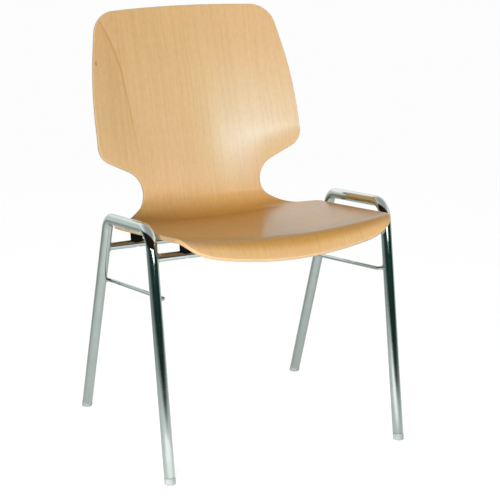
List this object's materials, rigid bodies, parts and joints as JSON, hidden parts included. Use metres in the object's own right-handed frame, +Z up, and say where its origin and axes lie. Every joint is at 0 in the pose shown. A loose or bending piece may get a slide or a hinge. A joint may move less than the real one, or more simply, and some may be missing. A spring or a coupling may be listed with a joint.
{
  "type": "stacking chair",
  "caption": "Stacking chair with a one-piece moulded plywood seat and back, waisted at the sides, on bent chromed tube side frames joined by cross tubes.",
  "frame": {"origin": "centre of the chair's bounding box in plan, on the floor", "axes": "+Z up; -Y the way the sitter faces; +X the sitter's left"},
  "size_m": [0.531, 0.5586, 0.8464],
  "materials": {
    "beech_ply": "clear satin lacquer on beech veneer",
    "chromed_steel": "polished chrome plate",
    "black_plastic": "moulded, slightly satin",
    "pale_plastic": "milky translucent moulding",
    "zinc_steel": "zinc plated"
  },
  "bodies": {
    "root": {"seat_shell": "beech_ply", "side_frame_left": "chromed_steel", "side_rod_left": "chromed_steel", "glide_front_left": "pale_plastic", "glide_rear_left": "pale_plastic", "side_frame_right": "chromed_steel", "side_rod_right": "chromed_steel", "glide_front_right": "pale_plastic", "glide_rear_right": "pale_plastic", "cross_tube_front": "chromed_steel", "spacer_front_left": "black_plastic", "screw_front_left": "zinc_steel", "washer_front_left": "zinc_steel", "insert_front_left": "zinc_steel", "spacer_front_right": "black_plastic", "screw_front_right": "zinc_steel", "washer_front_right": "zinc_steel", "insert_front_right": "zinc_steel", "cross_tube_rear": "chromed_steel", "spacer_rear_left": "black_plastic", "screw_rear_left": "zinc_steel", "washer_rear_left": "zinc_steel", "insert_rear_left": "zinc_steel", "spacer_rear_right": "black_plastic", "screw_rear_right": "zinc_steel", "washer_rear_right": "zinc_steel", "insert_rear_right": "zinc_steel"}
  },
  "joints": []
}
